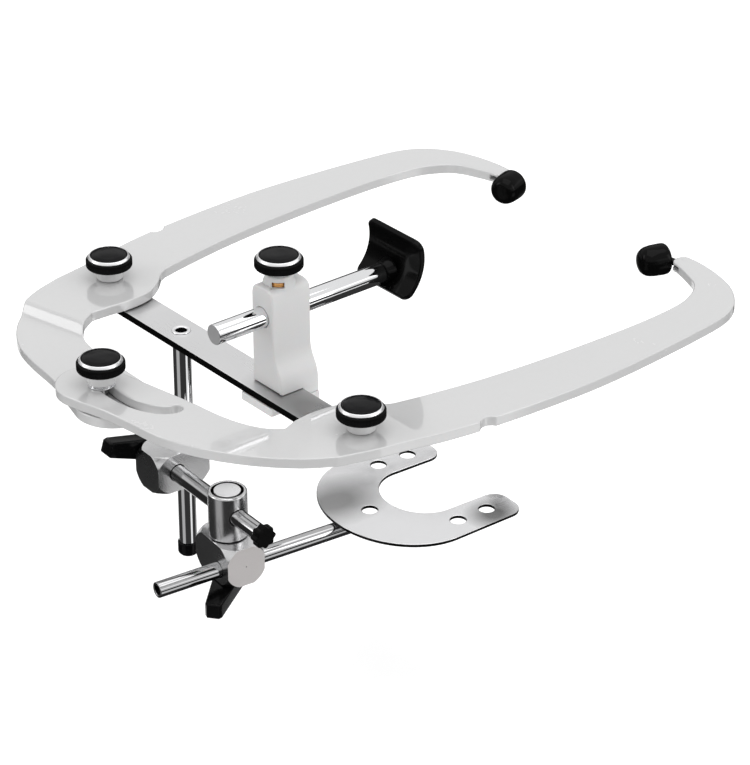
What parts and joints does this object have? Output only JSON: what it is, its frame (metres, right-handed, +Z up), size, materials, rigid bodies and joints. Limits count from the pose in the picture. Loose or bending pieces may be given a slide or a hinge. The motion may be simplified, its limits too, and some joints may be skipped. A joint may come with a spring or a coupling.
{
  "type": "dental facebow",
  "caption": "Facebow of two curved white arms that open together on a steel crossbar, with ear plugs, a sliding nasion rest and a jointed rod jig that carries a flat bite fork",
  "frame": {"origin": "middle of the crossbar's top face, on the line of the two arm pivots", "axes": "+X along the crossbar towards the right arm, +Y back along the arms to the ear plugs, +Z up"},
  "size_m": [0.2068, 0.2529, 0.1503],
  "materials": {
    "gloss_white": "smooth gloss coat",
    "block_white": "satin moulded",
    "clear_white": "polished",
    "black_plastic": "gloss, knurled on the rims",
    "black_rubber": "satin",
    "chrome": "polished",
    "sheet_steel": "brushed along its length",
    "clamp_steel": "turned and milled",
    "screw_steel": "plain",
    "brass": "turned"
  },
  "bodies": {
    "frame": {"crossbar": "sheet_steel", "post_bush": "chrome", "left_pivot_screw": "screw_steel", "right_pivot_screw": "screw_steel"},
    "left_arm": {"left_arm": "gloss_white", "left_ear_pin": "screw_steel", "lock_stud": "screw_steel", "lock_washer_lower": "chrome", "lock_washer_upper": "chrome"},
    "right_arm": {"right_arm": "gloss_white", "right_ear_pin": "screw_steel"},
    "left_pivot_knob": {"left_pivot_knob_collar": "clear_white", "left_pivot_knob_rim": "black_plastic", "left_pivot_knob_ring": "chrome", "left_pivot_knob_cap": "black_plastic"},
    "right_pivot_knob": {"right_pivot_knob_collar": "clear_white", "right_pivot_knob_rim": "black_plastic", "right_pivot_knob_ring": "chrome", "right_pivot_knob_cap": "black_plastic"},
    "lock_knob": {"lock_knob_collar": "clear_white", "lock_knob_rim": "black_plastic", "lock_knob_ring": "chrome", "lock_knob_cap": "black_plastic"},
    "nasion_knob": {"nasion_knob_collar": "clear_white", "nasion_knob_rim": "black_plastic", "nasion_knob_ring": "chrome", "nasion_knob_cap": "black_plastic"},
    "left_ear_plug": {"left_ear_plug": "black_rubber"},
    "right_ear_plug": {"right_ear_plug": "black_rubber"},
    "nasion_block": {"nasion_block": "block_white", "nasion_jaw": "block_white", "jaw_screw_1": "screw_steel", "jaw_screw_2": "screw_steel", "nasion_thread_insert": "brass", "nasion_screw": "screw_steel"},
    "nasion_rod": {"nasion_rod": "chrome"},
    "nasion_pad": {"nasion_pad": "black_rubber"},
    "post": {"post": "chrome", "post_cap": "black_plastic"},
    "jig_clamp": {"jig_clamp": "clamp_steel", "jig_clamp_screw": "screw_steel"},
    "jig_clamp_lever": {"jig_clamp_lever": "black_plastic"},
    "jig_rod": {"jig_rod": "chrome", "jig_rod_knob": "black_plastic"},
    "barrel": {"barrel": "clamp_steel", "barrel_plug": "chrome", "swivel_pin": "screw_steel"},
    "fork_clamp": {"fork_clamp": "clamp_steel", "fork_clamp_screw": "screw_steel"},
    "fork_clamp_lever": {"fork_clamp_lever": "black_plastic"},
    "fork_rod": {"fork_rod": "chrome"},
    "fork_plate": {"fork_plate": "sheet_steel"}
  },
  "joints": [
    {"name": "left_arm_swing", "type": "hinge", "parent": "frame", "child": "left_arm", "pos_m": [-0.077, 0, 0], "axis": [0, 0, 1], "range_deg": [0, 18]},
    {"name": "right_arm_swing", "type": "hinge", "parent": "frame", "child": "right_arm", "pos_m": [0.077, 0, 0], "axis": [0, 0, 1], "range_deg": [-18, 0]},
    {"name": "left_pivot_knob_turn", "type": "hinge", "parent": "frame", "child": "left_pivot_knob", "pos_m": [-0.077, 0, 0.0095], "axis": [0, 0, 1], "range_deg": [-180, 180]},
    {"name": "right_pivot_knob_turn", "type": "hinge", "parent": "frame", "child": "right_pivot_knob", "pos_m": [0.077, 0, 0.0095], "axis": [0, 0, 1], "range_deg": [-180, 180]},
    {"name": "lock_knob_turn", "type": "hinge", "parent": "left_arm", "child": "lock_knob", "pos_m": [-0.0084, -0.052, 0.0107], "axis": [0, 0, 1], "range_deg": [-180, 180]},
    {"name": "left_plug_fold", "type": "hinge", "parent": "left_arm", "child": "left_ear_plug", "pos_m": [-0.0532, 0.1816, 0.0023], "axis": [0, 0, 1], "range_deg": [-8, 40]},
    {"name": "right_plug_fold", "type": "hinge", "parent": "right_arm", "child": "right_ear_plug", "pos_m": [0.0532, 0.1816, 0.0023], "axis": [0, 0, 1], "range_deg": [-40, 8]},
    {"name": "nasion_block_slide", "type": "slide", "parent": "frame", "child": "nasion_block", "axis": [1, 0, 0], "range_m": [-0.034, 0.008]},
    {"name": "nasion_knob_turn", "type": "hinge", "parent": "nasion_block", "child": "nasion_knob", "pos_m": [0.0235, 0.0055, 0.05], "axis": [0, 0, 1], "range_deg": [-180, 180]},
    {"name": "nasion_rod_slide", "type": "slide", "parent": "nasion_block", "child": "nasion_rod", "axis": [0, 1, 0], "range_m": [-0.025, 0.018]},
    {"name": "nasion_pad_turn", "type": "hinge", "parent": "nasion_rod", "child": "nasion_pad", "pos_m": [0.0236, 0.0545, 0.0284], "axis": [0, 1, 0], "range_deg": [-20, 20]},
    {"name": "post_turn", "type": "hinge", "parent": "frame", "child": "post", "pos_m": [-0.0306, 0, -0.05], "axis": [0, 0, 1], "range_deg": [-20, 20]},
    {"name": "jig_clamp_slide", "type": "slide", "parent": "post", "child": "jig_clamp", "axis": [0, 0, 1], "range_m": [-0.028, 0.015]},
    {"name": "jig_lever_turn", "type": "hinge", "parent": "jig_clamp", "child": "jig_clamp_lever", "pos_m": [-0.04208, 0.0006, -0.0555], "axis": [0.9986, -0.0523, 0], "range_deg": [-70, 70]},
    {"name": "jig_rod_turn", "type": "hinge", "parent": "jig_clamp", "child": "jig_rod", "pos_m": [-0.03106, -0.00879, -0.0555], "axis": [0.9986, -0.0523, 0], "range_deg": [-12, 12]},
    {"name": "barrel_slide", "type": "slide", "parent": "jig_rod", "child": "barrel", "axis": [0.9986, -0.0523, 0], "range_m": [-0.01, 0.013]},
    {"name": "fork_clamp_swivel", "type": "hinge", "parent": "barrel", "child": "fork_clamp", "pos_m": [0.01098, -0.01099, -0.066], "axis": [0, 0, 1], "range_deg": [-20, 20]},
    {"name": "fork_lever_turn", "type": "hinge", "parent": "fork_clamp", "child": "fork_clamp_lever", "pos_m": [0.01098, -0.01099, -0.085], "axis": [0, 0, 1], "range_deg": [-60, 60]},
    {"name": "fork_rod_slide", "type": "slide", "parent": "fork_clamp", "child": "fork_rod", "axis": [0.1132, 0.9936, 0], "range_m": [-0.025, 0.02]},
    {"name": "fork_plate_turn", "type": "hinge", "parent": "fork_rod", "child": "fork_plate", "pos_m": [0.0259, 0.06783, -0.0761], "axis": [0.1132, 0.9936, 0], "range_deg": [-15, 15]}
  ],
  "couplings": [
    {"joint": "right_arm_swing", "follows": "left_arm_swing", "ratio": -1}
  ]
}
